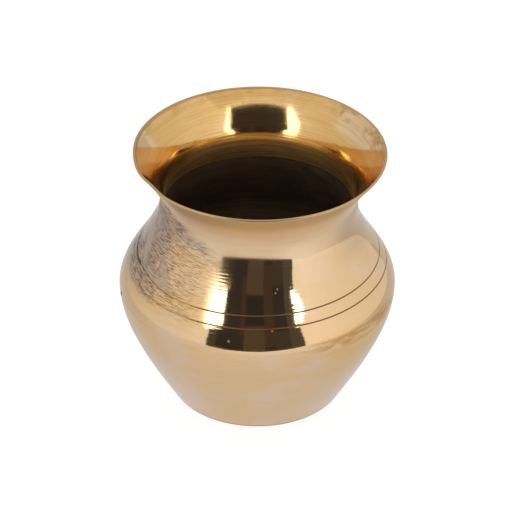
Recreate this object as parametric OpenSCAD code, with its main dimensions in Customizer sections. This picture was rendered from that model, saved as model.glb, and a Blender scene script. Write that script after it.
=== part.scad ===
// Brass kalash: a round-bellied water pot with a pinched neck and a wide flared mouth.
// Four turned shells of brass are lapped and brazed together. The filler in each lap is a
// ring of its own. Units are millimetres, +Z is up, and the origin is the centre of the
// face that the pot stands on.

/* [Outside] */
// Height from the standing face to the top of the rim
pot_h = 100; // [97:0.5:103]
// Radius of the mouth, to the outside of the rim
rim_r = 45.8; // [44.5:0.1:48]
// Outward travel of the flare for each millimetre of height, at the rim
rim_slope = 0.85; // [0.75:0.05:0.95]
// Outer radius of the neck where it is narrowest
neck_r = 35.8; // [35:0.1:37]
// Height of the narrowest part of the neck
neck_z = 81.4; // [80:0.1:83]
// Outer radius of the belly where it is widest
belly_r = 50.1; // [49:0.1:52]
// Height of the widest part of the belly
belly_z = 45.1; // [43.5:0.1:46.5]

/* [Foot] */
// Radius of the crease where the bowl meets the base
crease_r = 31.4; // [30.5:0.1:32.5]
// Height of the crease
crease_z = 2.2; // [2:0.1:2.6]
// Outward travel of the bowl for each millimetre of height, just above the crease
crease_slope = 0.59; // [0.5:0.01:0.68]
// Radius of the flat face that the pot stands on
stand_r = 24.2; // [22:0.1:26]

/* [Walls] */
// Thickness of the bowl, shoulder and neck
wall_t = 1.4; // [1.2:0.1:1.7]
// Thickness of the rim
lip_t = 1; // [0.8:0.1:1.2]
// Thickness of the base disc at its middle
base_t = 2; // [1.6:0.1:2.6]
// Thickness of the base disc's upturned edge
upturn_t = 1.2; // [1:0.1:1.5]
// Thickness of the filler in a joint
filler_t = 0.12; // [0.08:0.01:0.16]
// Length of each lap, measured along the wall
lap = 3; // [2.5:0.1:3.5]

/* [Engraved lines] */
// Height of the upper line on the shoulder
upper_line_z = 58.8; // [57.5:0.1:61]
// Height of the lower line on the shoulder
lower_line_z = 54.8; // [53.5:0.1:56.5]
// Width of a line
line_w = 0.5; // [0.4:0.05:0.7]
// Depth of a line
line_d = 0.2; // [0.1:0.05:0.3]

/* [Hidden] */
$fn = 96;
brass = [0.86, 0.72, 0.47];
filler = [0.88, 0.77, 0.55];

// How far the handles of each outline reach, which sets how full the curve is
crease_reach = 11.9;
belly_reach_down = 12.7;
belly_reach_up = 10.8;
neck_reach_down = 16.6;
neck_reach_up = 6.1;
rim_reach = 4.5;
corner_reach = 0.55;

// Where on the shoulder's outline, from 0 at the belly to 1 at the neck, the collar starts
collar_start = 0.84;

// Straight steps along the outlines
long_steps = 16;
short_steps = 8;
lap_steps = 3;

// How far below the wall's outer surface the faces of a lap lie
skirt_in = (wall_t - filler_t) / 2;
tongue_in = (wall_t + filler_t) / 2;
upturn_in = wall_t + filler_t;

// The outlines from the crease to the rim, each a curve with four control points
rim_way = unit([rim_slope, 1]);
crease_way = unit([crease_slope, 1]);
crease = [crease_r, crease_z];
belly = [belly_r, belly_z];
neck = [neck_r, neck_z];
rim = [rim_r - lip_t / 2 * (1 - rim_way[1]), pot_h - lip_t / 2 * (1 + rim_way[0])];
corner_curve = [[stand_r, 0], [stand_r + corner_reach * (crease_r - stand_r), 0],
                crease - corner_reach * crease_z * crease_way, crease];
bowl_curve = [crease, crease + crease_reach * crease_way,
              belly - [0, belly_reach_down], belly];
shoulder_curve = [belly, belly + [0, belly_reach_up],
                  neck - [0, neck_reach_down], neck];
flare_curve = [neck, neck + [0, neck_reach_up],
               rim - rim_reach * rim_way, rim];

// The joints as stretches of an outline, which runs three handles long for each unit of t
base_gap = filler_t / (3 * crease_reach);
base_lap = lap / (3 * crease_reach);
girth_gap = filler_t / (3 * belly_reach_up);
girth_lap = lap / (3 * belly_reach_up);
neck_gap = filler_t / (3 * neck_reach_down);
neck_lap = lap / (3 * neck_reach_down);
collar_inner_start = collar_start + neck_lap + neck_gap;

function unit(v) = v / norm(v);

function on_curve(c, t) =
    pow(1 - t, 3) * c[0] + 3 * pow(1 - t, 2) * t * c[1]
    + 3 * (1 - t) * t * t * c[2] + pow(t, 3) * c[3];

function along_curve(c, t) =
    unit(pow(1 - t, 2) * (c[1] - c[0]) + 2 * (1 - t) * t * (c[2] - c[1])
         + t * t * (c[3] - c[2]));

// The point a given distance below the surface, square to the outline
function below(c, t, depth) =
    let (way = along_curve(c, t))
    on_curve(c, t) + depth * [-way[1], way[0]];

// A stretch of outline from t0 to t1, at a depth that runs from d0 to d1
function stretch(c, t0, t1, d0, d1, steps) =
    [for (i = [0:steps])
        below(c, t0 + (t1 - t0) * i / steps, d0 + (d1 - d0) * i / steps)];

// The same points in the opposite order, all but the first, and all but the two ends
function reversed(points) = [for (i = [len(points) - 1:-1:0]) points[i]];
function rest(points) = [for (i = [1:len(points) - 1]) points[i]];
function middle(points) = [for (i = [1:len(points) - 2]) points[i]];

// How far along an outline a height lies, found by halving
function t_at(c, z, low, high, turns) =
    let (mid = (low + high) / 2)
    turns == 0 ? mid
    : on_curve(c, mid)[1] < z ? t_at(c, z, mid, high, turns - 1)
    : t_at(c, z, low, mid, turns - 1);

// One side of a lapped joint: in from the surface, along the lap, and in to the inner wall
function lap_face(c, t, length, depth) =
    concat([below(c, t, 0)],
           stretch(c, t, t + length, depth, depth, lap_steps),
           [below(c, t + length, wall_t)]);

// A V-shaped cut along the shoulder's outline
function line_cut(t) =
    let (way = along_curve(shoulder_curve, t), here = on_curve(shoulder_curve, t))
    [here - line_w / 2 * way, below(shoulder_curve, t, line_d), here + line_w / 2 * way];

// The faces that meet in each joint, the first of each pair on the lower piece
base_seat = concat([crease],
                   stretch(bowl_curve, 0, base_lap, upturn_in, upturn_in, lap_steps));
bowl_foot = concat([below(bowl_curve, base_gap, 0)],
                   stretch(bowl_curve, base_gap, base_lap, wall_t, wall_t, lap_steps));
bowl_tongue = lap_face(shoulder_curve, 0, girth_lap, tongue_in);
shoulder_skirt = lap_face(shoulder_curve, girth_gap, girth_lap, skirt_in);
shoulder_tongue = lap_face(shoulder_curve, collar_start, neck_lap, tongue_in);
collar_skirt = lap_face(shoulder_curve, collar_start + neck_gap, neck_lap, skirt_in);

module turned(outline, tone) {
    color(tone)
        rotate_extrude()
            polygon(outline);
}

// Filler between the two faces of a joint
module braze_ring(lower_face, upper_face) {
    turned(concat(lower_face, reversed(upper_face)), filler);
}

// Dished disc: the standing face, a rounded corner, and an edge turned up inside the bowl
module base_disc() {
    upturn_depth = upturn_in + upturn_t;
    upturn = stretch(bowl_curve, base_lap, 0, upturn_depth, upturn_depth, lap_steps);
    corner = stretch(corner_curve, 0, 1, 0, 0, short_steps);
    turned(concat([[0, 0]], corner, rest(base_seat),
                  upturn, [[stand_r, base_t], [0, base_t]]), brass);
}

module base_braze_ring() {
    braze_ring(base_seat, bowl_foot);
}

// Lower half of the body, with a half-thick tongue above the girth
module lower_bowl() {
    outer = stretch(bowl_curve, base_gap, 1, 0, 0, long_steps);
    tongue_inner = stretch(shoulder_curve, girth_lap, 0, wall_t, wall_t, lap_steps);
    inner = stretch(bowl_curve, 1, base_lap, wall_t, wall_t, long_steps);
    foot = reversed(bowl_foot);
    turned(concat(outer, rest(bowl_tongue), rest(tongue_inner), rest(inner), middle(foot)),
           brass);
}

module girth_braze_ring() {
    braze_ring(bowl_tongue, shoulder_skirt);
}

// Upper half of the body, engraved with two lines, between the girth and the neck
module shoulder_shell() {
    low = t_at(shoulder_curve, lower_line_z, 0, 1, 24);
    high = t_at(shoulder_curve, upper_line_z, 0, 1, 24);
    clear = line_w / (2 * belly_reach_up);
    outer = concat(stretch(shoulder_curve, girth_gap, low - clear, 0, 0, short_steps),
                   line_cut(low),
                   stretch(shoulder_curve, low + clear, high - clear, 0, 0, lap_steps),
                   line_cut(high),
                   stretch(shoulder_curve, high + clear, collar_start, 0, 0, long_steps));
    inner = stretch(shoulder_curve, collar_start + neck_lap, girth_lap + girth_gap,
                    wall_t, wall_t, long_steps);
    turned(concat(outer, rest(shoulder_tongue), rest(inner), middle(reversed(shoulder_skirt))),
           brass);
}

module neck_braze_ring() {
    braze_ring(shoulder_tongue, collar_skirt);
}

// Pinched neck and flared mouth in one piece, ending in a rounded lip
module neck_collar() {
    outer_neck = stretch(shoulder_curve, collar_start + neck_gap, 1, 0, 0, short_steps);
    outer_flare = stretch(flare_curve, 0, 1, 0, 0, long_steps);
    lip_centre = below(flare_curve, 1, lip_t / 2);
    lip_start = atan2(rim[1] - lip_centre[1], rim[0] - lip_centre[0]);
    lip = [for (i = [1:short_steps - 1])
        lip_centre + lip_t / 2 * [cos(lip_start + 180 * i / short_steps),
                                  sin(lip_start + 180 * i / short_steps)]];
    inner_flare = stretch(flare_curve, 1, 0, lip_t, wall_t, long_steps);
    inner_neck = stretch(shoulder_curve, 1, collar_inner_start, wall_t, wall_t, short_steps);
    turned(concat(outer_neck, rest(outer_flare), lip, inner_flare, rest(inner_neck),
                  middle(reversed(collar_skirt))), brass);
}

base_disc();
base_braze_ring();
lower_bowl();
girth_braze_ring();
shoulder_shell();
neck_braze_ring();
neck_collar();
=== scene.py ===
"""Brass kalash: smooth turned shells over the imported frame, with polished and worn brass.

Units are metres, +Z is up, and the pot's front faces -Y, towards the camera.
"""

import math
from types import SimpleNamespace

import bpy
import numpy as np
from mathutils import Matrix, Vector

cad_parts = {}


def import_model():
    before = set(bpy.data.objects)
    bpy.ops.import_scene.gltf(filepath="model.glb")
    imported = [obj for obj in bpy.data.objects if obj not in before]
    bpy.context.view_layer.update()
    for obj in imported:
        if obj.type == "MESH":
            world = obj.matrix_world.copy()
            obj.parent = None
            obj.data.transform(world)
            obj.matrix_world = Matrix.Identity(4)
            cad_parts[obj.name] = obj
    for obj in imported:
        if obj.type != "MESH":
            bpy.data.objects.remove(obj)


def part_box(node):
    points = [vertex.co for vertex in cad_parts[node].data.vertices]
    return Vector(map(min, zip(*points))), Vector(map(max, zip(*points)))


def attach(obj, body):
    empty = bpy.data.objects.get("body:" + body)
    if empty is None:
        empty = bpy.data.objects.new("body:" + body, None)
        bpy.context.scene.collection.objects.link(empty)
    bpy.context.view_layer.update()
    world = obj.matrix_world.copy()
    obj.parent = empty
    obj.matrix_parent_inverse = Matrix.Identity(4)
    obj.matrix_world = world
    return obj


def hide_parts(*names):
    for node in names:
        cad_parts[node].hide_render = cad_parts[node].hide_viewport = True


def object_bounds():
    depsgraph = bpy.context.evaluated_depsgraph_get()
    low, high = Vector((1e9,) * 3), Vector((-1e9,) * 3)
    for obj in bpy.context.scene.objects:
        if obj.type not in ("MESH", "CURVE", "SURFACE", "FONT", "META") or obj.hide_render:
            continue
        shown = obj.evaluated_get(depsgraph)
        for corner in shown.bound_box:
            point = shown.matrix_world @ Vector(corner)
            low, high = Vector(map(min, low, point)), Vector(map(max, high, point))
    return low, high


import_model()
CAD_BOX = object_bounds()

MM = 0.001
MICRON = 1e-6

# ---------------------------------------------------------------- dimensions
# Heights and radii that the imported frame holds
POT_H = CAD_BOX[1][2]
BELLY_R = CAD_BOX[1][0]
BELLY_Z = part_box("girth_braze_ring")[0][2]
RIM_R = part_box("neck_collar")[1][0]
CREASE_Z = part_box("base_braze_ring")[0][2]

# The rest of the outline, as the CAD source has it
NECK_R = 35.8 * MM
NECK_Z = 81.4 * MM
CREASE_R = 31.4 * MM
STAND_R = 24.2 * MM
RIM_SLOPE = 0.85
CREASE_SLOPE = 0.59
WALL_T = 1.4 * MM
LIP_T = 1.0 * MM
BASE_T = 2.0 * MM
UPTURN_T = 1.2 * MM
FILLER_T = 0.12 * MM
LAP = 3.0 * MM
COLLAR_START = 0.84
CREASE_REACH = 11.9 * MM
BELLY_REACH_DOWN = 12.7 * MM
BELLY_REACH_UP = 10.8 * MM
NECK_REACH_DOWN = 16.6 * MM
NECK_REACH_UP = 6.1 * MM
RIM_REACH = 4.5 * MM
CORNER_REACH = 0.55

# Engraved lines on the shoulder: height, width and depth
LINE_HEIGHTS = (54.8 * MM, 58.8 * MM)
LINE_W = 0.5 * MM
LINE_D = 0.2 * MM
# Half of a groove here, a little less than in the CAD so that it doesn't render too wide
LINE_HALF = 0.87 * LINE_W / 2

# The mouth stands a little off the belly's axis, towards +X, and dips on that side
LEAN = 0.87 * MM
LEAN_FROM = 66 * MM
LEAN_TO = 88 * MM
DIP = 0.30 * MM

# The waist is pulled in by this much round one height, fading above and below it
WAIST = 0.22 * MM
WAIST_Z = 74 * MM
WAIST_FADE = 4.5 * MM

# Two flats and a slight bulge in the rim: azimuth, half-width in degrees, and how far in
RIM_FLATS = ((-60, 9, 0.95 * MM), (-84, 14, 0.40 * MM), (40, 16, -0.25 * MM))

# The rim's flats, bulge and dip grow from nothing at one height to their full size at the other
RIM_SHAPE_FROM = 80 * MM
RIM_SHAPE_TO = 98 * MM

# Steps round the pot, and the spacing of rings along its outline
SEGMENTS = 540
CLOSE_STEP = 0.2 * MM
SHORT_STEP = 0.3 * MM
FINE_STEP = 0.5 * MM
COARSE_STEP = 1.5 * MM


# ---------------------------------------------------------------- outline
def unit(v):
    """The same direction, one long."""
    v = np.asarray(v, dtype=float)
    return v / np.linalg.norm(v)


def on_curve(curve, t):
    """The point at t, from 0 to 1, on a Bezier curve given by its four (radius, height) points."""
    t = np.atleast_1d(t)[:, None]
    a, b, c, d = curve
    return (1 - t) ** 3 * a + 3 * (1 - t) ** 2 * t * b + 3 * (1 - t) * t * t * c + t**3 * d


def along_curve(curve, t):
    """The curve's direction at t."""
    t = np.atleast_1d(t)[:, None]
    a, b, c, d = curve
    way = (1 - t) ** 2 * (b - a) + 2 * (1 - t) * t * (c - b) + t * t * (d - c)
    return way / np.linalg.norm(way, axis=1)[:, None]


def below(curve, t, depth):
    """The point that far under the surface, square to the outline."""
    way = along_curve(curve, t)
    depth = np.broadcast_to(depth, len(way))[:, None]
    return on_curve(curve, t) + depth * np.stack([-way[:, 1], way[:, 0]], 1)


def stretch(curve, t0, t1, depth0, depth1, step):
    """A stretch of outline from t0 to t1, with its points about one step apart."""
    rough = on_curve(curve, np.linspace(t0, t1, 40))
    length = np.linalg.norm(np.diff(rough, axis=0), axis=1).sum()
    count = max(2, int(round(length / step)) + 1)
    t = np.linspace(t0, t1, count)
    return below(curve, t, np.linspace(depth0, depth1, count))


CREASE = np.array([CREASE_R, CREASE_Z])
BELLY = np.array([BELLY_R, BELLY_Z])
NECK = np.array([NECK_R, NECK_Z])
RIM_WAY = unit([RIM_SLOPE, 1])
CREASE_WAY = unit([CREASE_SLOPE, 1])
RIM = np.array([RIM_R - LIP_T / 2 * (1 - RIM_WAY[1]), POT_H - LIP_T / 2 * (1 + RIM_WAY[0])])
CORNER_CURVE = (
    np.array([STAND_R, 0.0]),
    np.array([STAND_R + CORNER_REACH * (CREASE_R - STAND_R), 0.0]),
    CREASE - CORNER_REACH * CREASE_Z * CREASE_WAY,
    CREASE,
)
BOWL_CURVE = (
    CREASE,
    CREASE + CREASE_REACH * CREASE_WAY,
    BELLY - np.array([0, BELLY_REACH_DOWN]),
    BELLY,
)
SHOULDER_CURVE = (
    BELLY,
    BELLY + np.array([0, BELLY_REACH_UP]),
    NECK - np.array([0, NECK_REACH_DOWN]),
    NECK,
)
FLARE_CURVE = (NECK, NECK + np.array([0, NECK_REACH_UP]), RIM - RIM_REACH * RIM_WAY, RIM)

# Depths of the faces of a lap, and how far along its outline each joint reaches
SKIRT_IN = (WALL_T - FILLER_T) / 2
TONGUE_IN = (WALL_T + FILLER_T) / 2
UPTURN_IN = WALL_T + FILLER_T
BASE_GAP = FILLER_T / (3 * CREASE_REACH)
BASE_LAP = LAP / (3 * CREASE_REACH)
GIRTH_GAP = FILLER_T / (3 * BELLY_REACH_UP)
GIRTH_LAP = LAP / (3 * BELLY_REACH_UP)
NECK_GAP = FILLER_T / (3 * NECK_REACH_DOWN)
NECK_LAP = LAP / (3 * NECK_REACH_DOWN)


def lap_face(curve, t, length, depth):
    """One side of a lapped joint: in from the surface, along the lap, and in to the inner wall."""
    return [
        below(curve, t, 0),
        stretch(curve, t, t + length, depth, depth, COARSE_STEP),
        below(curve, t + length, WALL_T),
    ]


def shoulder_t(z):
    """How far along the shoulder's outline a height lies."""
    t = np.linspace(0, 1, 2000)
    return float(np.interp(z, on_curve(SHOULDER_CURVE, t)[:, 1], t))


# ---------------------------------------------------------------- surface relief
# Azimuths are degrees round the pot: 0 is the front, 90 is +X
# Dents and nubs: azimuth, height, half-width round, half-width up, and how far out
MARKS = (
    (-79, 45.6 * MM, 0.7 * MM, 0.6 * MM, 0.42 * MM),
    (-60.5, 65.0 * MM, 0.7 * MM, 1.3 * MM, -0.10 * MM),
    (67, 31.8 * MM, 0.7 * MM, 0.6 * MM, -0.20 * MM),
    (-12, 50.4 * MM, 0.45 * MM, 0.4 * MM, -0.06 * MM),
    (31, 69.5 * MM, 6.0 * MM, 3.0 * MM, -0.03 * MM),
    (150, 58.0 * MM, 5.0 * MM, 4.0 * MM, -0.04 * MM),
    (-140, 27.0 * MM, 6.0 * MM, 4.0 * MM, -0.04 * MM),
)

# The tool chatter's top edge: its height at one azimuth, and its rise for each degree leftwards
CHATTER_TOP = 76.4 * MM
CHATTER_TOP_AT = -21
CHATTER_RISE = 0.32 * MM

# The engraved lines fade from sound to worn, and on round the back from worn to sound
WORN_FROM = (-24, -38)
WORN_TO = (-120, -106)


def smooth(value, low, high):
    """Goes smoothly from 0 to 1 as value goes from low to high."""
    t = np.clip((value - low) / (high - low), 0, 1)
    return t * t * (3 - 2 * t)


def waves(across, up, count, seed, across_lengths, up_lengths):
    """A seeded sum of ripples, about 1 high."""
    rng = np.random.default_rng(seed)
    total = np.zeros(np.broadcast_shapes(across.shape, up.shape))
    for _ in range(count):
        k_across = 2 * math.pi / rng.uniform(*across_lengths) * rng.choice((-1, 1))
        k_up = 2 * math.pi / rng.uniform(*up_lengths)
        total += np.cos(k_across * across + k_up * up + rng.uniform(0, 6.28))
    return total / math.sqrt(count / 2)


def chatter_patch(azimuth, z):
    """Where the lathe tool chattered on the left of the shoulder: 0 outside, 1 inside."""
    top = CHATTER_TOP + CHATTER_RISE * (CHATTER_TOP_AT - azimuth)
    inside = smooth(top - z, -1 * MM, 2.5 * MM) * smooth(z, 52 * MM, 57 * MM)
    return inside * smooth(azimuth, -14, -34) * smooth(azimuth, -94, -86)


def waviness(azimuth, z):
    """Slow unevenness from finishing by hand, dying out at the standing face."""
    total = np.zeros(np.broadcast_shapes(azimuth.shape, z.shape))
    rng = np.random.default_rng(11)
    for _ in range(16):
        turns = int(rng.integers(0, 6))
        phase = turns * np.radians(azimuth) + 2 * math.pi * z / (rng.uniform(9, 28) * MM)
        total = total + rng.uniform(2.5, 7.0) * MICRON * np.cos(phase + rng.uniform(0, 6.28))
    return total * smooth(z, 0.2 * MM, 4 * MM)


def tool_ripples(azimuth, z):
    """Ripples in the chatter, and on both sides of the front, where they tear a reflection."""
    around = np.radians(azimuth) * BELLY_R
    chatter = waves(around, z, 40, 5, (9 * MM, 30 * MM), (0.8 * MM, 1.5 * MM))
    teeth = waves(around, z, 40, 8, (14 * MM, 60 * MM), (0.8 * MM, 2.0 * MM))
    left = np.exp(-(((azimuth + 20) / 6) ** 2)) * (5 + 4 * smooth(z, 62 * MM, 71 * MM))
    right = np.exp(-(((azimuth - 19) / 5) ** 2)) * 4
    teeth = teeth * (left + right) * smooth(z, 79 * MM, 75 * MM)
    return MICRON * (6 * chatter * chatter_patch(azimuth, z) + teeth)


def grooves(azimuth, z):
    """The two engraved lines, shallow where they are worn."""
    worn = smooth(azimuth, *WORN_FROM) * smooth(azimuth, *WORN_TO)
    total = 0
    for line in LINE_HEIGHTS:
        across = np.clip((z - line) / LINE_HALF, -1, 1)
        total = total - LINE_D * np.cos(across * math.pi / 2) * (1 - 0.85 * worn)
    return total


def dents(azimuth, z):
    """The dents and nubs listed in MARKS."""
    total = 0
    for place, height, wide, tall, out in MARKS:
        side = np.radians((azimuth - place + 180) % 360 - 180) * BELLY_R
        total = total + out * np.exp(-((side / wide) ** 2) - ((z - height) / tall) ** 2)
    return total


def outer_relief(azimuth, z):
    """How far the finished outside stands out from its smooth outline."""
    relief = waviness(azimuth, z) + tool_ripples(azimuth, z)
    return relief + grooves(azimuth, z) + dents(azimuth, z)


def inner_relief(azimuth, z):
    """Turning ridges inside the neck, dying out up the flare, on a slow unevenness."""
    ridges = np.zeros(z.shape)
    rng = np.random.default_rng(23)
    height = 66 * MM
    while height < 93 * MM:
        height += rng.uniform(0.5, 1.15) * MM
        tall = rng.uniform(0.2, 1.0)
        ridges = ridges + tall * np.exp(-(((z - height) / (0.24 * MM)) ** 2))
    amount = 30 * MICRON * smooth(z, 92 * MM, 84 * MM)
    slow = waves(np.radians(azimuth), z, 10, 31, (1.2, 6.3), (8 * MM, 30 * MM))
    slow = slow * smooth(np.abs(azimuth), 180, 150)
    return -(amount * ridges + 3 * MICRON * slow)


def lean(z):
    """How far the mouth is off the belly's axis at a height."""
    return LEAN * smooth(z, LEAN_FROM, LEAN_TO)


def hand_shape(azimuth, z):
    """How far the wall is out and up from the true outline, at the waist and the rim."""
    amount = smooth(z, RIM_SHAPE_FROM, RIM_SHAPE_TO)
    out = np.zeros(np.broadcast_shapes(azimuth.shape, z.shape))
    for place, half, depth in RIM_FLATS:
        away = (azimuth - place + 180) % 360 - 180
        out = out - depth * np.exp(-((away / half) ** 2))
    waist = -WAIST * np.exp(-(((z - WAIST_Z) / WAIST_FADE) ** 2))
    return out * amount + waist, -DIP * (0.4 + np.sin(np.radians(azimuth))) * amount


# ---------------------------------------------------------------- turned meshes
# Kinds of surface: outer and inner ones each have a relief and a material, hidden ones are plain
OUTER, INNER, HIDDEN = "outer", "inner", "hidden"


def add_object(name, data):
    made = bpy.data.objects.new(name, data)
    bpy.context.scene.collection.objects.link(made)
    return made


def azimuths(dense=None):
    """Azimuths round a ring, in order; half of them fall in the dense range if there is one."""
    if dense is None:
        return np.linspace(-180, 180, SEGMENTS, endpoint=False)
    low, high = dense
    half = SEGMENTS // 2
    rest = SEGMENTS - half
    close = np.linspace(low, high, half, endpoint=False)
    return np.concatenate([close, np.linspace(high, low + 360, rest, endpoint=False)])


def outline_of(parts):
    """Joins the parts of an outline, and says which kind of face each point starts."""
    points, kinds = [], []
    for part, kind in parts:
        for point in np.atleast_2d(part):
            if points and np.linalg.norm(point - points[-1]) < 1e-7:
                kinds[-1] = kind
                continue
            points.append(point)
            kinds.append(kind)
    if np.linalg.norm(points[0] - points[-1]) < 1e-7:
        points.pop()
        kinds.pop()
    return np.array(points), kinds


def along_outline(outline, capped):
    """The outline's direction at each of its points."""
    way = np.roll(outline, -1, axis=0) - np.roll(outline, 1, axis=0)
    if capped:
        way[0] = outline[1] - outline[0]
        way[-1] = outline[-1] - outline[-2]
    return way / (np.linalg.norm(way, axis=1)[:, None] + 1e-12)


def lathe_points(outline, kinds, azimuth, capped, inner):
    """A ring of points for each point of the outline, and then the middles of any caps."""
    way = along_outline(outline, capped)
    r, z = outline[:, 0][:, None], outline[:, 1][:, None]
    lift = np.zeros((len(outline), azimuth.shape[1]))
    for kind, relief in ((OUTER, outer_relief), (INNER, inner)):
        if relief is not None:
            here = np.array([k == kind for k in kinds])[:, None]
            lift = np.where(here, relief(azimuth, z), lift)
    out, up = hand_shape(azimuth, z)
    radius = r + lift * way[:, 1][:, None] + out
    height = z - lift * way[:, 0][:, None] + up
    turn = np.radians(azimuth)
    x = radius * np.sin(turn) + lean(z)
    y = -radius * np.cos(turn)
    points = np.stack([x, y, np.broadcast_to(height, x.shape)], -1).reshape(-1, 3).tolist()
    if capped:
        points += [(0, 0, float(outline[0, 1])), (0, 0, float(outline[-1, 1]))]
    return points


def lathe_faces(rows, count, capped):
    """Four-sided faces between the rings, and then the caps' triangles, low and high by turns."""
    ring = np.arange(rows - 1 if capped else rows)[:, None]
    place = np.arange(count)[None, :]
    up, on = (ring + 1) % rows, (place + 1) % count
    corners = [ring * count + place, ring * count + on, up * count + on, up * count + place]
    faces = np.stack(corners, -1).reshape(-1, 4).tolist()
    if capped:
        low, high = rows * count, rows * count + 1
        last = (rows - 1) * count
        for i in range(count):
            j = (i + 1) % count
            faces.append([low, j, i])
            faces.append([high, last + i, last + j])
    return faces


def face_materials(kinds, count, capped):
    """1 for each inner face and 0 for the others, in the order of lathe_faces."""
    rows = len(kinds) - 1 if capped else len(kinds)
    which = np.repeat([int(kind == INNER) for kind in kinds[:rows]], count)
    if capped:
        which = np.concatenate([which, np.tile([0, 1], count)])
    return which.astype(np.int32)


def turned(name, parts, materials, dense=None, capped=False, inner=None):
    """A closed shell turned from its outline, in place of the frame's node of that name."""
    outline, kinds = outline_of(parts)
    azimuth = azimuths(dense)[None, :]
    count = azimuth.shape[1]
    points = lathe_points(outline, kinds, azimuth, capped, inner)
    mesh = bpy.data.meshes.new(name)
    mesh.from_pydata(points, [], lathe_faces(len(outline), count, capped))
    for material in materials:
        mesh.materials.append(material)
    if len(materials) > 1:
        mesh.polygons.foreach_set("material_index", face_materials(kinds, count, capped))
    mesh.shade_smooth()
    mesh.set_sharp_from_angle(angle=math.radians(32))
    piece = add_object(name, mesh)
    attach(piece, "root")
    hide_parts(name)
    return piece


# ---------------------------------------------------------------- materials
WARM = (0.80, 0.565, 0.330)
PINK = (0.80, 0.590, 0.400)
GOLD = (0.79, 0.520, 0.230)
# Tarnish, and painted shade at the very bottom of the foot
TARNISH_AND_SHADE = (0.54, 0.315, 0.110)
# Dark dirt, and painted shade along the crease
GRIME_AND_SHADE = (0.115, 0.062, 0.032)
BROWN = (0.26, 0.145, 0.055)
MAUVE = (0.43, 0.330, 0.265)
PALE = (0.87, 0.690, 0.500)
# Painted shade under the lip
SHADE_UNDER_LIP = (0.58, 0.420, 0.240)
DASH = (0.16, 0.100, 0.070)
# Dark on the chatter's ticks, a painted reflection
WARM_TICK_REFLECTION = (0.30, 0.175, 0.085)
SCUFF = (0.53, 0.410, 0.325)
FLARE = (0.78, 0.490, 0.185)
NECK_INSIDE = (0.86, 0.555, 0.200)
OXIDE = (0.200, 0.150, 0.105)
OXIDE_RING = (0.27, 0.185, 0.120)
OXIDE_PATCH = (0.30, 0.190, 0.110)
STREAK = (0.70, 0.470, 0.250)
PINHOLE = (0.50, 0.400, 0.300)
FLARE_CLOUD = (0.80, 0.535, 0.255)
FLARE_PINK = (0.86, 0.630, 0.380)
FLARE_STAIN = (0.50, 0.275, 0.090)
RIM_EDGE = (0.46, 0.260, 0.090)
NECK_STREAK = (0.38, 0.240, 0.095)
FILLER_PALE = (0.80, 0.600, 0.380)
FILLER_DARK = (0.66, 0.460, 0.260)


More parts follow.
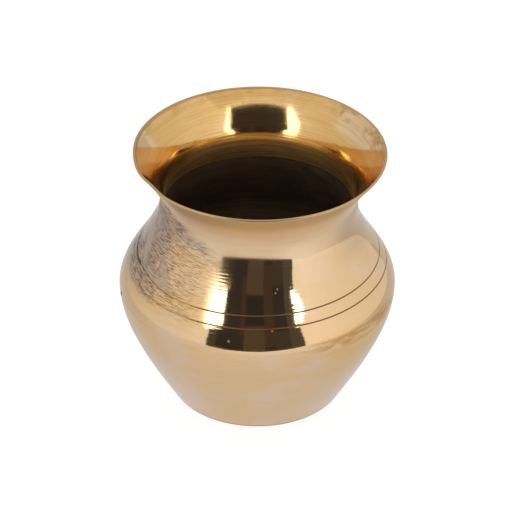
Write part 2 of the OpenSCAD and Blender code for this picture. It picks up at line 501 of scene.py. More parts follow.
class Paint:
    """One material's nodes, wired by short calls. Lengths are millimetres, angles degrees."""

    def __init__(self, name):
        self.material = bpy.data.materials.new(name)
        self.material.use_nodes = True
        self.tree = self.material.node_tree
        self.tree.nodes.clear()
        scale = self.add("ShaderNodeVectorMath", operation="SCALE")
        self.put(scale.inputs[0], self.add("ShaderNodeTexCoord").outputs["Object"])
        self.put(scale.inputs["Scale"], 1000)
        self.place = scale.outputs[0]
        split = self.add("ShaderNodeSeparateXYZ")
        self.put(split.inputs[0], self.place)
        self.x, self.y, self.z = split.outputs

    def add(self, kind, **settings):
        made = self.tree.nodes.new(kind)
        for key, value in settings.items():
            setattr(made, key, value)
        return made

    def put(self, socket, value):
        if isinstance(value, bpy.types.NodeSocket):
            self.tree.links.new(value, socket)
        elif socket.type == "RGBA":
            socket.default_value = (*value, 1)
        else:
            socket.default_value = value

    def math(self, operation, *values):
        made = self.add("ShaderNodeMath", operation=operation)
        for socket, value in zip(made.inputs, values):
            self.put(socket, value)
        return made.outputs[0]

    def plus(self, *values):
        total = values[0]
        for value in values[1:]:
            total = self.math("ADD", total, value)
        return total

    def times(self, *values):
        total = values[0]
        for value in values[1:]:
            total = self.math("MULTIPLY", total, value)
        return total

    def most(self, *values):
        """The highest of the values."""
        top = values[0]
        for value in values[1:]:
            top = self.math("MAXIMUM", top, value)
        return top

    def least(self, *values):
        """The lowest of the values."""
        low = values[0]
        for value in values[1:]:
            low = self.math("MINIMUM", low, value)
        return low

    def step(self, value, low, high, at_low=0.0, at_high=1.0):
        """Goes smoothly from at_low to at_high as value goes from low to high."""
        made = self.add("ShaderNodeMapRange", interpolation_type="SMOOTHSTEP")
        for socket, v in zip(made.inputs, (value, low, high, at_low, at_high)):
            self.put(socket, v)
        return made.outputs[0]

    def near(self, value, middle, half, soft):
        """1 where value is within half of middle, fading to 0 over soft."""
        away = self.math("ABSOLUTE", self.math("SUBTRACT", value, middle))
        return self.step(away, half + soft, half)

    def vector(self, *values):
        made = self.add("ShaderNodeCombineXYZ")
        for socket, value in zip(made.inputs, values):
            self.put(socket, value)
        return made.outputs[0]

    def noise(self, across, up, detail=2.0, rough=0.5, distortion=0.0, shift=0.0, z=None):
        """Noise with that many cells per millimetre across the pot and up it, or up a given z."""
        high = self.times(self.z if z is None else z, up)
        place = self.vector(self.times(self.x, across), self.times(self.y, across),
                            self.plus(high, shift))
        made = self.add("ShaderNodeTexNoise", noise_dimensions="3D")
        self.put(made.inputs["Vector"], place)
        self.put(made.inputs["Scale"], 1.0)
        self.put(made.inputs["Detail"], detail)
        self.put(made.inputs["Roughness"], rough)
        self.put(made.inputs["Distortion"], distortion)
        return made.outputs[0]

    def azimuth(self, behind=False):
        """Degrees round from the front, or from behind."""
        ahead = self.y if behind else self.times(self.y, -1)
        return self.times(self.math("ARCTAN2", self.x, ahead), 180 / math.pi)

    def mix(self, amount, a, b):
        """Goes from colour a to colour b as amount goes from 0 to 1."""
        made = self.add("ShaderNodeMix", data_type="RGBA")
        self.put(made.inputs[0], amount)
        self.put(made.inputs[6], a)
        self.put(made.inputs[7], b)
        return made.outputs[2]

    def finish(self, shader):
        out = self.add("ShaderNodeOutputMaterial")
        self.put(out.inputs["Surface"], shader.outputs[0])
        return self.material

    def metal(self, colour, roughness, height):
        """Finishes the material as a metal. Height is its bump, in microns."""
        shader = self.add("ShaderNodeBsdfPrincipled")
        self.put(shader.inputs["Metallic"], 1.0)
        self.put(shader.inputs["Base Color"], colour)
        self.put(shader.inputs["Roughness"], roughness)
        bump = self.add("ShaderNodeBump")
        self.put(bump.inputs["Distance"], MICRON)
        self.put(bump.inputs["Height"], height)
        self.put(shader.inputs["Normal"], bump.outputs[0])
        return self.finish(shader)


def tone(p):
    """The metal's own colour: warm, with pinker and more golden clouds and fine dull streaks."""
    clouds = p.noise(0.05, 0.07, detail=3, rough=0.55)
    pink = p.step(clouds, 0.46, 0.66)
    gold = p.step(p.noise(0.045, 0.10, detail=4, rough=0.6, shift=40), 0.52, 0.70)
    colour = p.mix(pink, WARM, PINK)
    colour = p.mix(p.times(gold, 0.45), colour, GOLD)
    streaks = p.step(p.noise(0.05, 2.4, detail=3, rough=0.6), 0.35, 0.70, 0.0, 0.14)
    return p.mix(streaks, colour, STREAK)


def tarnish_mask(p, azimuth):
    """Golden-brown smears round the girth on the right, and brown clouds here and there behind."""
    smears = p.step(p.noise(0.10, 0.40, detail=4, rough=0.6, distortion=0.4), 0.40, 0.60)
    edge = p.plus(p.z, p.times(p.plus(p.noise(0.3, 0.3), -0.5), 1.2))
    band = p.times(p.step(edge, 47.6, 46.8), p.step(edge, 40.0, 44.0))
    girth = p.times(p.near(azimuth, 52, 20, 12), band)
    line = p.times(p.near(edge, 47.0, 0.25, 0.3), p.near(azimuth, 46, 16, 12), 0.8)
    behind = p.times(p.step(p.math("ABSOLUTE", azimuth), 95, 140), p.near(p.z, 50, 12, 16))
    return p.most(p.times(p.plus(girth, p.times(behind, 0.35)), smears), line)


def top_gap(p, azimuth):
    """How many millimetres under the chatter's slanting, ragged top edge."""
    ragged = p.times(p.plus(p.noise(0.12, 0.4, detail=3), -0.5), 8)
    rise = CHATTER_RISE / MM
    top = p.plus(p.times(azimuth, -rise), CHATTER_TOP / MM + rise * CHATTER_TOP_AT)
    return p.plus(top, p.times(p.z, -1), ragged)


def patch_mask(p, azimuth, gap):
    """Nearly the same patch as chatter_patch, with ragged edges."""
    ragged = p.times(p.plus(p.noise(0.10, 0.35, detail=3, shift=17), -0.5), 5)
    bottom = p.step(p.plus(p.z, ragged, p.step(azimuth, -60, -90, 0, -3)), 51.5, 55.5)
    right = p.step(p.plus(azimuth, p.times(ragged, 1.5)), -13, -34)
    left = p.step(azimuth, -104, -94)
    beyond = p.times(p.step(azimuth, -84, -90), p.step(p.z, 62, 64.5))
    return p.times(p.step(gap, -2.0, 4.0), bottom, right, left, p.step(beyond, 1, 0))


def dashes(p):
    """Thin ticks along the latitudes, a little wavy. They are bump, and the mask for the dark paint
    on them, which is painted reflection.
    """
    wavy = p.times(p.plus(p.noise(0.11, 0.09, detail=1), -0.5), 1.6)
    return p.noise(0.30, 3.7, detail=2, rough=0.6, z=p.plus(p.z, wavy))


def calm_strip(p, azimuth):
    """A smooth strip that slants up through the left of the chatter."""
    rise = p.plus(p.z, -61.5)
    away = p.math("ABSOLUTE", p.plus(azimuth, 73, p.times(rise, 1.41)))
    inside = p.plus(p.times(rise, 0.7), 1.5, p.times(away, -1))
    return p.times(p.step(inside, -1.5, 1.5), p.near(p.z, 66.5, 5, 2))


def scuff_mask(p, azimuth):
    """A four-sided matt scuff in the middle of the chatter, with ragged edges."""
    low = p.plus(p.z, -60, p.times(p.plus(azimuth, 67.9), 0.051))
    left = p.times(p.plus(p.times(p.plus(azimuth, 67.9), 1.213), p.times(p.z, -1), 60), 0.55)
    top = p.times(p.plus(p.times(p.plus(azimuth, 60.1), -0.53), p.times(p.z, -1), 69.4), 0.85)
    right = p.times(p.plus(azimuth, 47.4), -0.8)
    ragged = p.times(p.plus(p.noise(0.45, 0.9, detail=3), -0.5), 3)
    return p.step(p.plus(p.least(low, left, top, right), ragged), -0.7, 0.9)


def line_grime(p, azimuth):
    """Dark dirt in the two engraved lines. It is thin where they are worn."""
    lower, upper = (h / MM for h in LINE_HEIGHTS)
    lines = p.most(p.near(p.z, lower, 0.17, 0.10), p.near(p.z, upper, 0.17, 0.10))
    worn = p.times(p.step(azimuth, *WORN_FROM), p.step(azimuth, *WORN_TO))
    return p.times(lines, p.step(worn, 0, 1, 1, 0.15))


def stray_cuts(p, azimuth):
    """What is left of the lines on the chatter, and the dark arc that the upper one ends in."""
    lower, upper = (h / MM for h in LINE_HEIGHTS)
    rise = p.times(p.most(p.plus(p.times(azimuth, -1), -46), 0.0), -0.051)
    first = p.times(p.near(p.plus(p.z, rise), upper, 0.10, 0.16), p.near(azimuth, -49, 21, 6), 0.6)
    second = p.times(p.near(p.z, lower, 0.10, 0.16), p.near(azimuth, -44, 16, 8), 0.45)
    far = p.plus(azimuth, 74.5)
    curve = p.plus(p.z, p.times(far, far, -0.0029))
    arc = p.times(p.near(curve, 59.9, 0.30, 0.20), p.step(azimuth, -72.5, -75),
                  p.step(azimuth, -122, -112))
    return p.most(first, second, arc)


def spot(p, azimuth, at, z, radius, taller=1.0):
    """A small spot on the shoulder, that many times taller than it's wide."""
    side = p.times(p.plus(azimuth, -at), BELLY_R / MM * 0.93 * math.pi / 180)
    rise = p.times(p.plus(p.z, -z), 1 / taller)
    away = p.math("POWER", p.plus(p.times(side, side), p.times(rise, rise)), 0.5)
    return p.step(away, radius * 1.5, radius * 0.6)


def pits(p, azimuth):
    """The pinholes in the front of the shoulder."""
    return p.most(spot(p, azimuth, 10.4, 66.7, 0.35), spot(p, azimuth, 9.2, 65.5, 0.3),
                  spot(p, azimuth, 6.5, 54.1, 0.35), spot(p, azimuth, -12, 50.4, 0.45))


def mauve_mask(p, m):
    """A dull mauve cast on the chatter's upper edge and on the left of the neck."""
    width = p.step(m.azimuth, -24, -60, 4.5, 11)
    band = p.times(m.patch, p.step(p.math("DIVIDE", m.gap, width), 1.2, 0.4))
    side = p.times(p.near(m.azimuth, -98, 30, 20), p.near(p.z, 72, 14, 8), 0.8)
    return p.most(p.times(band, 0.95), side)


def outer_masks(p):
    """What marks the outside and where, each as a mask from 0 to 1."""
    m = SimpleNamespace(azimuth=p.azimuth())
    m.gap = top_gap(p, m.azimuth)
    m.patch = patch_mask(p, m.azimuth, m.gap)
    m.mauve = mauve_mask(p, m)
    m.scuff = scuff_mask(p, m.azimuth)
    m.ticks = dashes(p)
    calm = p.most(p.times(calm_strip(p, m.azimuth), 0.9), p.times(m.scuff, 0.45))
    strength = p.most(p.step(m.azimuth, -14, -62, 0.40, 1.0), m.mauve)
    # The dark paint on the ticks, stronger to the left, is painted reflection over their real bump
    m.dark = p.times(p.step(m.ticks, 0.46, 0.58), m.patch, strength, p.step(calm, 0, 1, 1, 0))
    m.tarnish = tarnish_mask(p, m.azimuth)
    m.cuts = stray_cuts(p, m.azimuth)
    m.grime = p.most(line_grime(p, m.azimuth), m.cuts)
    m.holes = pits(p, m.azimuth)
    # The lowest half millimetre of the foot, just over the floor, where shade is painted
    m.under = p.step(p.z, 0.5, 0.05)
    return m


def tinted_tone(p, m):
    """The metal's tone, golden at the girth, under the chatter and low on the right."""
    golden = p.times(p.near(m.azimuth, -54, 26, 12), p.near(p.z, 56, 4.5, 4),
                     p.step(p.noise(0.12, 0.35, detail=3, shift=9), 0.32, 0.56))
    right = p.times(p.near(m.azimuth, 60, 20, 16), p.near(p.z, 38, 7, 9))
    shoulder = p.step(p.z, 46, 50, 0.0, 0.18)
    gold = p.most(p.times(golden, 0.75), p.times(right, 0.80), shoulder)
    return p.mix(gold, tone(p), GOLD)


def neck_tints(p, m, colour):
    """Mauve and pale casts round the neck, and painted shade under the lip, a little stronger on
    the left.
    """
    colour = p.mix(m.mauve, colour, MAUVE)
    cool = p.times(p.near(m.azimuth, 96, 30, 24), p.near(p.z, 77, 7, 6), 0.3)
    colour = p.mix(cool, colour, MAUVE)
    waist = p.times(p.near(p.z, 79, 3, 3), p.near(m.azimuth, 0, 40, 25), 0.3)
    colour = p.mix(p.most(p.times(p.near(p.z, 88, 2.5, 4), 0.6), waist), colour, PALE)
    # Painted shade under the lip, growing up to it, a little stronger on the left
    painted_shade_under_lip = p.times(p.step(p.z, 88, 96), p.step(m.azimuth, 0, -50, 0.85, 1.0))
    return p.mix(painted_shade_under_lip, colour, SHADE_UNDER_LIP)


def outer_colour(p, m):
    """The tinted metal under its tarnish, scuff, ticks, dirt and spots, each over the last. The
    dark on the ticks is painted reflection, and the line at the crease and the very bottom of the
    foot are painted shade.
    """
    pit = spot(p, m.azimuth, -61.0, 64.6, 1.0, 1.7)
    around_pit = spot(p, m.azimuth, -60.4, 64.2, 1.5, 1.6)
    nub = spot(p, m.azimuth, -79, 45.4, 0.9)
    scuffed = p.times(m.scuff, p.step(p.noise(0.5, 1.2, shift=3), 0.3, 0.7, 0.95, 0.6))
    dirt = p.mix(p.step(m.azimuth, -60, -20), GRIME_AND_SHADE, BROWN)
    # The dark line at the crease is painted shade
    crease = p.near(p.z, CREASE_Z / MM, 0.15, 0.35)
    lip = p.step(p.z, 99.2, 99.7)

    colour = neck_tints(p, m, tinted_tone(p, m))
    for amount, over in (
        (p.times(m.tarnish, 0.85), TARNISH_AND_SHADE),
        (scuffed, SCUFF),
        (p.times(around_pit, 0.5), DASH),
        (pit, GOLD),
        # Painted reflection: dark on the chatter's ticks, over their real bump
        (p.times(m.dark, 0.92), p.mix(m.mauve, WARM_TICK_REFLECTION, DASH)),
        (p.times(m.grime, 0.9), dirt),
        (nub, GRIME_AND_SHADE),
        # Painted shade along the crease
        (p.times(crease, 0.6), GRIME_AND_SHADE),
        (p.times(m.holes, 0.6), PINHOLE),
        # Painted shade at the very bottom of the foot
        (p.times(m.under, 0.6), TARNISH_AND_SHADE),
        (p.times(lip, 0.5), TARNISH_AND_SHADE),
    ):
        colour = p.mix(amount, colour, over)
    return colour


def outer_roughness(p, m):
    """Bright on the shoulder, softer at the neck and below the girth, and dull where marked."""
    corner = p.times(p.near(m.azimuth, -20, 5, 5), p.near(p.z, 71.5, 3.5, 3))
    return p.plus(p.step(p.z, 75, 85, 0.07, 0.42), p.step(p.z, 47, 43, 0, 0.09),
                  p.times(m.patch, 0.10), p.times(corner, 0.08), p.times(m.tarnish, 0.15),
                  p.times(m.scuff, 0.2), p.times(m.grime, 0.3), p.times(m.holes, 0.4),
                  p.times(m.under, 0.2), p.times(m.dark, 0.15))


def outer_height(p, m):
    """Fine relief in microns: turning marks, the chatter's ticks, stray cuts and grain."""
    turning = p.times(p.noise(0.05, 2.2, detail=3, rough=0.6), 3.0)
    teeth = p.times(p.plus(p.noise(0.18, 2.2, detail=2, shift=5), -0.5),
                    p.step(m.azimuth, -8, -22, 3, 24), p.near(m.azimuth, -35, 60, 25),
                    p.near(p.z, 62, 13, 4))
    ticks = p.times(p.plus(m.ticks, -0.5), m.patch, -40)
    grain = p.times(p.noise(1.3, 1.3, detail=2), 0.5)
    return p.plus(turning, teeth, ticks, p.times(m.cuts, -30), grain)


def outer_brass(name):
    """Turned and buffed brass, as seen on the outside."""
    p = Paint(name)
    m = outer_masks(p)
    return p.metal(outer_colour(p, m), outer_roughness(p, m), outer_height(p, m))


def flare_masks(p):
    """What marks the inside of the mouth and where."""
    m = SimpleNamespace(azimuth=p.azimuth(behind=True))
    m.clouds = p.noise(0.06, 0.10, detail=4, rough=0.6)
    m.streaks = p.noise(0.05, 2.6, detail=3, rough=0.65)
    stained = p.step(p.noise(0.14, 0.35, detail=4, rough=0.6, distortion=0.5), 0.42, 0.64)
    rim = p.most(p.times(p.step(p.z, 95.5, 99.5), 0.6),
                 p.times(p.near(m.azimuth, 62, 18, 12), p.step(p.z, 93.5, 98), 0.9))
    m.stain = p.times(stained, rim)
    return m


def flare_colour(p, m):
    """Deep gold, pinker at both sides, stained at the rim and streaky down the neck."""
    colour = p.mix(p.step(m.clouds, 0.42, 0.66), FLARE, FLARE_CLOUD)
    colour = p.mix(p.step(p.z, 89, 84), colour, NECK_INSIDE)
    right = p.times(p.step(m.azimuth, 42, 48), p.step(m.azimuth, 125, 112), p.step(p.z, 91, 93.5))
    left = p.times(p.step(m.azimuth, -66, -72), p.step(m.azimuth, -125, -112),
                   p.step(p.z, 91, 93))
    colour = p.mix(p.times(p.most(left, right), 0.75), colour, FLARE_PINK)
    colour = p.mix(p.times(m.stain, 0.85), colour, FLARE_STAIN)
    round_from_back = p.math("ABSOLUTE", m.azimuth)
    edge = p.times(p.step(p.z, 99.2, 99.6), p.step(round_from_back, 105, 80, 0.3, 0.8))
    colour = p.mix(edge, colour, RIM_EDGE)
    streaky = p.times(p.step(m.streaks, 0.42, 0.60), p.step(p.z, 90, 85, 0.20, 0.66))
    return p.mix(streaky, colour, NECK_STREAK)


def flare_brass(name):
    """The inside of the mouth: deeper gold, scratched, with turning rings down the neck."""
    p = Paint(name)
    m = flare_masks(p)
    roughness = p.plus(p.step(p.z, 88, 81, 0.065, 0.43), p.times(m.stain, 0.12),
                       p.times(p.step(m.clouds, 0.45, 0.65), 0.03))
    rings = p.times(m.streaks, p.step(p.z, 90, 83, 1.0, 16.0))
    scratches = p.plus(scratch(p, m.azimuth, 24, 0.30, 5.0), scratch(p, m.azimuth, -38, 0.35, 4.0))
    height = p.plus(rings, p.times(scratches, 1.3), p.times(p.noise(1.2, 1.2), 0.5))
    return p.metal(flare_colour(p, m), roughness, height)


def scratch(p, azimuth, slant, along, across):
    """Fine scratches that slant that many degrees from the latitudes."""
    side = p.times(azimuth, RIM_R / MM * math.pi / 180)
    rise = p.times(p.z, 1.3)
    c, s = math.cos(math.radians(slant)), math.sin(math.radians(slant))
    place = p.vector(p.times(p.plus(p.times(side, c), p.times(rise, s)), along),
                     p.times(p.plus(p.times(side, -s), p.times(rise, c)), across))
    made = p.add("ShaderNodeTexNoise", noise_dimensions="2D")
    p.put(made.inputs["Vector"], place)
    p.put(made.inputs["Scale"], 1.0)
    p.put(made.inputs["Detail"], 1.0)
    return p.step(made.outputs[0], 0.60, 0.72)


def oxidised_brass(name):
    """The never-polished inside, gone almost black, with faint turning rings."""
    p = Paint(name)
    rings = p.noise(0.03, 0.9, detail=3, rough=0.6)
    patches = p.noise(0.12, 0.12, detail=4, rough=0.6)
    colour = p.mix(p.step(rings, 0.35, 0.65), OXIDE, OXIDE_RING)
    colour = p.mix(p.step(patches, 0.50, 0.70, 0, 0.5), colour, OXIDE_PATCH)
    roughness = p.step(patches, 0.30, 0.70, 0.50, 0.65)
    return p.metal(colour, roughness, p.plus(p.times(rings, 8), p.times(patches, 6)))


def braze_filler(name):
    """A hairline of paler brazing metal, dressed flush."""
    p = Paint(name)
    flecks = p.noise(0.8, 0.8, detail=3)
    colour = p.mix(p.step(flecks, 0.40, 0.60), FILLER_PALE, FILLER_DARK)
    return p.metal(colour, p.step(flecks, 0.35, 0.65, 0.12, 0.26), p.times(flecks, 1.0))


BRASS = outer_brass("turned_brass")
NECK_BRASS = outer_brass("collar_brass")
MOUTH_BRASS = flare_brass("mouth_brass")
OXIDISED = oxidised_brass("oxidised_brass")
FILLER = braze_filler("braze_filler")


# ---------------------------------------------------------------- pieces
def base_disc():
    """The dished disc: its standing face, corner, the upturn's two sides and the floor inside."""
    upturn_depth = UPTURN_IN + UPTURN_T
    seat = stretch(BOWL_CURVE, 0, BASE_LAP, UPTURN_IN, UPTURN_IN, COARSE_STEP)
    upturn = stretch(BOWL_CURVE, BASE_LAP, 0, upturn_depth, upturn_depth, COARSE_STEP)
    corner = stretch(CORNER_CURVE, 0, 1, 0, 0, SHORT_STEP)
    rings = 24
    flat = np.stack([np.linspace(1 * MM, STAND_R - 0.5 * MM, rings), np.zeros(rings)], 1)
    top = np.stack([np.linspace(STAND_R, 1 * MM, rings), np.full(rings, BASE_T)], 1)
    parts = [(flat, HIDDEN), (corner, OUTER), (seat, HIDDEN), (upturn, INNER), (top, INNER)]
    return turned("base_disc", parts, (BRASS, OXIDISED), capped=True)


def base_braze_ring():
    """Brazing metal between the bowl and the disc's upturn, showing as a hairline at the crease."""
    seat = stretch(BOWL_CURVE, BASE_LAP, 0, UPTURN_IN, UPTURN_IN, COARSE_STEP)
    foot = stretch(BOWL_CURVE, BASE_GAP, BASE_LAP, WALL_T, WALL_T, COARSE_STEP)
    hairline = np.vstack([CREASE, below(BOWL_CURVE, BASE_GAP, 0)])
    parts = [(hairline, OUTER), (foot, HIDDEN), (seat, HIDDEN)]
    return turned("base_braze_ring", parts, (FILLER,))


def lower_bowl():
    """From the crease to the girth, with the tongue of the girth's lap on top."""
    parts = [
        (stretch(BOWL_CURVE, BASE_GAP, 1, 0, 0, FINE_STEP), OUTER),
        (np.vstack(lap_face(SHOULDER_CURVE, 0, GIRTH_LAP, TONGUE_IN)[1:]), HIDDEN),
        (stretch(SHOULDER_CURVE, GIRTH_LAP, 0, WALL_T, WALL_T, COARSE_STEP), INNER),
        (stretch(BOWL_CURVE, 1, BASE_GAP, WALL_T, WALL_T, COARSE_STEP), INNER),
    ]
    return turned("lower_bowl", parts, (BRASS, OXIDISED))


def lap_filler(name, start, gap, length):
    """Brazing metal in a lap: a hairline outside, a film up the lap, and in to the inner wall."""
    tongue = lap_face(SHOULDER_CURVE, start, length, TONGUE_IN)
    skirt = lap_face(SHOULDER_CURVE, start + gap, length, SKIRT_IN)
    parts = [
        (tongue[0], OUTER),
        (skirt[0], OUTER),
        (np.vstack(skirt[1:]), HIDDEN),
        (np.vstack(tongue[1:])[::-1], HIDDEN),
    ]
    return turned(name, parts, (FILLER,))


def girth_braze_ring():
    """The filler where the bowl and the shoulder meet, at the widest part."""
    return lap_filler("girth_braze_ring", 0, GIRTH_GAP, GIRTH_LAP)


def engraved_outer():
    """The shoulder's outer outline from the girth to the collar, close-set at its two lines."""
    runs = []
    start = GIRTH_GAP
    for z in LINE_HEIGHTS:
        centre = shoulder_t(z)
        half = shoulder_t(z + LINE_HALF) - centre
        runs.append(stretch(SHOULDER_CURVE, start, centre - half, 0, 0, SHORT_STEP))
        runs.append(below(SHOULDER_CURVE, np.linspace(centre - half, centre + half, 7), 0))
        start = centre + half
    runs.append(stretch(SHOULDER_CURVE, start, COLLAR_START, 0, 0, SHORT_STEP))
    return np.vstack(runs)


def shoulder_shell():
    """From the girth to the collar: a skirt outside the bowl's tongue, and a tongue of its own."""
    tongue = lap_face(SHOULDER_CURVE, COLLAR_START, NECK_LAP, TONGUE_IN)
    skirt = lap_face(SHOULDER_CURVE, GIRTH_GAP, GIRTH_LAP, SKIRT_IN)
    inner = stretch(SHOULDER_CURVE, COLLAR_START + NECK_LAP, GIRTH_LAP + GIRTH_GAP,
                    WALL_T, WALL_T, COARSE_STEP)
    parts = [
        (engraved_outer(), OUTER),
        (np.vstack(tongue[1:]), HIDDEN),
        (inner, INNER),
        (np.vstack(skirt[1:])[::-1], HIDDEN),
    ]
    return turned("shoulder_shell", parts, (BRASS, OXIDISED), dense=(-98, 16))


def neck_braze_ring():
    """The filler where the shoulder and the collar meet, below the neck."""
    return lap_filler("neck_braze_ring", COLLAR_START, NECK_GAP, NECK_LAP)


def lip_round():
    """The rim's rounded edge, from the outer surface over to the inner."""
    way = along_curve(FLARE_CURVE, 1)[0]
    inward = np.array([-way[1], way[0]])
    centre = RIM + inward * LIP_T / 2
    turn = np.linspace(0, math.pi, 11)[:, None]
    return centre - inward * LIP_T / 2 * np.cos(turn) + way * LIP_T / 2 * np.sin(turn)


def neck_collar():
    """The neck and the flared mouth, with a skirt outside the shoulder's tongue."""
    skirt = lap_face(SHOULDER_CURVE, COLLAR_START + NECK_GAP, NECK_LAP, SKIRT_IN)
    inner_start = COLLAR_START + NECK_LAP + NECK_GAP
    parts = [
        (stretch(SHOULDER_CURVE, COLLAR_START + NECK_GAP, 1, 0, 0, FINE_STEP), OUTER),
        (stretch(FLARE_CURVE, 0, 1, 0, 0, 2 * FINE_STEP), OUTER),
        (lip_round(), OUTER),
        (stretch(FLARE_CURVE, 1, 0, LIP_T, WALL_T, SHORT_STEP), INNER),
        (stretch(SHOULDER_CURVE, 1, inner_start, WALL_T, WALL_T, CLOSE_STEP), INNER),
        (np.vstack(skirt[1:])[::-1], HIDDEN),
    ]
    return turned("neck_collar", parts, (NECK_BRASS, MOUTH_BRASS), inner=inner_relief)


SLOTS = {
    base_disc: "turned_brass",
    base_braze_ring: "braze_filler",
    lower_bowl: "turned_brass",
    girth_braze_ring: "braze_filler",
    shoulder_shell: "turned_brass",
    neck_braze_ring: "braze_filler",
    neck_collar: "collar_brass",
}
for make, slot in SLOTS.items():
    make()


# ---------------------------------------------------------------- stage
def glow(name, colour, strength, ramp=None):
    """A glowing surface; ramp is (axis, from, to, strength there) along x, y or z in metres."""
    p = Paint(name)
    light = p.add("ShaderNodeEmission")
    p.put(light.inputs["Color"], colour)
    if ramp is None:
        p.put(light.inputs["Strength"], strength)
    else:
        axis, start, end, there = ramp
        place = {"x": p.x, "y": p.y, "z": p.z}[axis]
        made = p.add("ShaderNodeMapRange")
        for socket, v in zip(made.inputs, (place, start * 1000, end * 1000, strength, there)):
            p.put(socket, v)
        p.put(light.inputs["Strength"], made.outputs[0])
    return p.finish(light)


def card(name, corners, material):
    """A flat card that shows only as a reflection: unseen itself, and with no shadow."""
    mesh = bpy.data.meshes.new(name)
    mesh.from_pydata([tuple(c) for c in corners], [], [tuple(range(len(corners)))])
    mesh.materials.append(material)
    made = add_object(name, mesh)
    made.visible_camera = False
    made.visible_diffuse = False
    made.visible_shadow = False


# The light tent: half its width, where its front stands, and its height, in metres
SIDE = 0.23
FRONT = -0.21
CEILING = 0.38


def front_card(name, points, material, ahead=0.0):
    """A card standing in the tent's front, or that far inside it, from (x, z) corners."""
    card(name, [(x, FRONT + ahead, z) for x, z in points], material)


def light_tent():
    """White fabric walls round the pot, brighter to the front, on a floor whose glow dims from the
    front to the pot and stays dim behind it: painted shadow of the pot.
    """
    lo, hi = -SIDE, SIDE
    under = -0.5 * MM
    card("tent_right", [(hi, FRONT, 0), (hi, hi, 0), (hi, hi, CEILING), (hi, FRONT, CEILING)],
         glow("tent_right", (1, 0.99, 0.99), 1.08, ("y", -0.20, 0.16, 0.80)))
    card("tent_left", [(lo, FRONT, 0), (lo, hi, 0), (lo, hi, CEILING), (lo, FRONT, CEILING)],
         glow("tent_left", (1, 0.98, 0.98), 0.95, ("y", -0.20, 0.16, 0.72)))
    card("tent_back", [(lo, hi, 0), (hi, hi, 0), (hi, hi, CEILING), (lo, hi, CEILING)],
         glow("tent_back", (1, 0.98, 0.95), 0.55, ("z", 0.0, 0.35, 0.80)))
    card("tent_ceiling", [(lo, FRONT, CEILING), (hi, FRONT, CEILING), (hi, hi, CEILING),
                          (lo, hi, CEILING)],
         glow("tent_ceiling", (1, 0.98, 0.95), 0.86, ("y", -0.2, 0.2, 0.78)))
    front_card("tent_front", [(lo, 0), (hi, 0), (hi, CEILING), (lo, CEILING)],
               glow("tent_front", (1, 0.99, 0.98), 0.98, ("x", -0.2, 0.2, 1.10)))
    # The floor's glow dims from the front to the pot: painted shadow of the pot
    card("tent_floor_painted_shadow", [(lo, FRONT, under), (hi, FRONT, under), (hi, hi, under), (lo, hi, under)],
         glow("tent_floor_painted_shadow", (1, 0.985, 0.99), 0.97, ("y", -0.20, 0.02, 0.64)))


# Corners, as x and z, of the tent's opening and of the bright edges of its two flaps
OPENING = (
    (-0.155, 0.003), (0.143, 0.003), (0.135, 0.140), (0.136, 0.166), (0.148, 0.190),
    (0.150, 0.345), (-0.132, 0.345), (-0.136, 0.200), (-0.164, 0.172), (-0.152, 0.110),
)
LEFT_FLAP = (
    (-0.172, 0.133), (-0.106, 0.141), (-0.108, 0.168), (-0.134, 0.195),
    (-0.131, 0.355), (-0.160, 0.363), (-0.222, 0.275), (-0.200, 0.185),
)
RIGHT_FLAP = (
    (0.120, 0.142), (0.134, 0.146), (0.150, 0.158), (0.170, 0.178), (0.182, 0.200), (0.178, 0.260),
    (0.168, 0.350), (0.149, 0.358), (0.147, 0.192), (0.123, 0.172), (0.119, 0.153),
)

# What shows through the opening: x from and to, z from and to, and colour
ROOM = (
    ("room_high", -0.132, 0.148, 0.190, 0.345, (0.046, 0.043, 0.048)),
    ("room_left", -0.152, -0.118, 0.014, 0.19, (0.070, 0.072, 0.068)),
    ("room_right", 0.050, 0.092, 0.014, 0.125, (0.056, 0.052, 0.045)),
    ("room_far_right", 0.092, 0.135, 0.014, 0.19, (0.080, 0.084, 0.080)),
    ("red_left", -0.050, -0.035, 0.110, 0.19, (0.072, 0.040, 0.030)),
    ("door", -0.035, 0.020, 0.014, 0.143, (0.092, 0.072, 0.055)),
    ("window", -0.035, 0.020, 0.143, 0.190, (0.028, 0.028, 0.028)),
    ("red_right", 0.020, 0.050, 0.040, 0.19, (0.066, 0.046, 0.036)),
    ("sill", -0.155, 0.143, 0.003, 0.014, (0.10, 0.075, 0.06)),
)


def bright_floor():
    """The tent's floor is brighter on both sides of the pot than in front of it, and each side dims
    from the front back to the pot: painted shadow of the pot.
    """
    z = 0.2 * MM
    back = 0.04
    for name, near, far, strength in (
        ("floor_right_painted_shadow", 0.07, SIDE, 0.95),
        ("floor_left_painted_shadow", -0.07, -SIDE, 0.83),
    ):
        # Each side's glow dims towards the pot: painted shadow of the pot
        card(name, [(near, FRONT, z), (far, FRONT, z), (far, back, z), (near, back, z)],
             glow(name, (1, 0.985, 0.98), strength, ("y", -0.13, back, 0.64)))


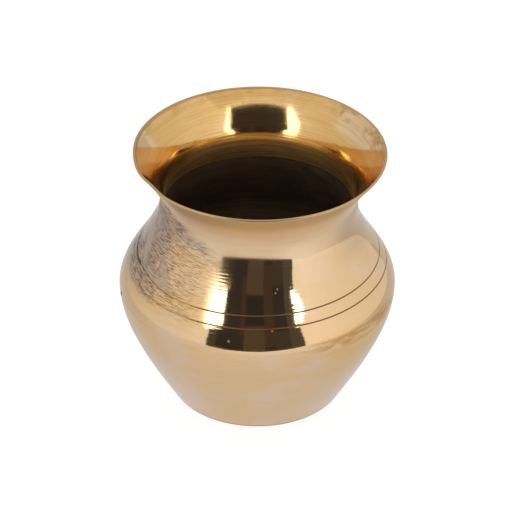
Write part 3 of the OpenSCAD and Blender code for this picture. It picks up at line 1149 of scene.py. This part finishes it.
def open_front():
    """The tent's opening on a dark room, and the bright edges of its two front flaps."""
    front_card("opening", OPENING, glow("opening", (0.036, 0.035, 0.036), 1.0), 0.001)
    for name, left, right, low, high, colour in ROOM:
        front_card(name, [(left, low), (right, low), (right, high), (left, high)],
                   glow(name, colour, 1.0), 0.002)
    bright = glow("flap_light", (1, 0.99, 0.95), 4.0)
    front_card("left_flap", LEFT_FLAP, bright, 0.004)
    front_card("right_flap", RIGHT_FLAP, bright, 0.004)


def floor():
    """A pale floor that keeps only a faint shadow under the pot."""
    p = Paint("stage_floor")
    matt = p.add("ShaderNodeBsdfDiffuse")
    p.put(matt.inputs["Color"], (0.16, 0.16, 0.16))
    light = p.add("ShaderNodeEmission")
    p.put(light.inputs["Strength"], 0.90)
    both = p.add("ShaderNodeAddShader")
    p.put(both.inputs[0], matt.outputs[0])
    p.put(both.inputs[1], light.outputs[0])
    size = 6.0
    mesh = bpy.data.meshes.new("floor")
    corners = [(-size, -size, 0), (size, -size, 0), (size, size, 0), (-size, size, 0)]
    mesh.from_pydata(corners, [], [(0, 1, 2, 3)])
    mesh.materials.append(p.finish(both))
    made = add_object("floor", mesh)
    made.visible_glossy = False


def world():
    """Plain white all round, a little brighter than the floor."""
    made = bpy.data.worlds.new("studio")
    bpy.context.scene.world = made
    made.use_nodes = True
    back = made.node_tree.nodes["Background"]
    back.inputs["Color"].default_value = (1, 1, 1, 1)
    back.inputs["Strength"].default_value = 1.07


def camera():
    """A long lens, a little above the pot, looking down at its middle from the front."""
    elevation = math.radians(33.145)
    distance = 1.8174
    target_z = 49.79 * MM
    data = bpy.data.cameras.new("camera")
    data.sensor_width = 36
    data.lens = 351.56
    data.shift_x = -0.0024
    data.shift_y = 0.0255
    data.clip_start = 0.05
    data.clip_end = 20
    made = add_object("camera", data)
    made.location = (0, -distance * math.cos(elevation), target_z + distance * math.sin(elevation))
    made.rotation_euler = (math.pi / 2 - elevation, 0, 0)
    bpy.context.scene.camera = made


light_tent()
bright_floor()
open_front()
floor()
world()
camera()
bpy.context.scene.view_settings.view_transform = "Standard"
